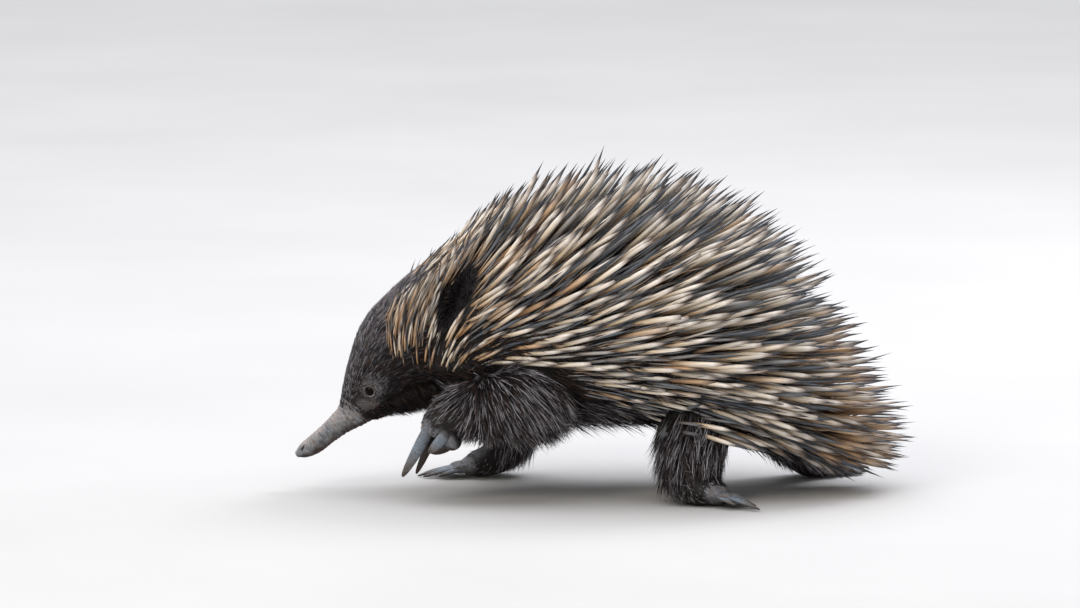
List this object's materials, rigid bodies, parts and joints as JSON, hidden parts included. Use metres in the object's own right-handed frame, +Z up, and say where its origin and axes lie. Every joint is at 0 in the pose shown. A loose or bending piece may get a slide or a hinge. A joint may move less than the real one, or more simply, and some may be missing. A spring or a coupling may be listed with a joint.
{
  "type": "short-beaked echidna model",
  "caption": "Still, life-size museum model of a short-beaked echidna walking with its head low and one forefoot lifted, its back covered in banded spines.",
  "frame": {"origin": "on the floor, under the middle of the animal's length and width", "axes": "+X runs from the beak to the tail along the animal's length, -Y is its left side, and +Z is up"},
  "size_m": [0.4218, 0.2066, 0.2345],
  "materials": {
    "bare_skin": "dull grey-brown bare skin",
    "dark_fur": "coarse brown-black fur",
    "spiny_coat": "cream spines with dark tips over dark fur",
    "claw_horn": "smooth grey horn",
    "wet_eye": "glossy black"
  },
  "bodies": {
    "root": {"beak": "bare_skin", "head": "dark_fur", "left_eye": "wet_eye", "right_eye": "wet_eye", "left_ear": "dark_fur", "right_ear": "dark_fur", "neck": "spiny_coat", "torso": "spiny_coat", "tail": "spiny_coat", "left_fore_leg": "dark_fur", "right_fore_leg": "dark_fur", "left_hind_leg": "dark_fur", "right_hind_leg": "dark_fur", "left_fore_foot": "claw_horn", "right_fore_foot": "claw_horn", "left_hind_foot": "claw_horn", "right_hind_foot": "claw_horn"}
  },
  "joints": []
}
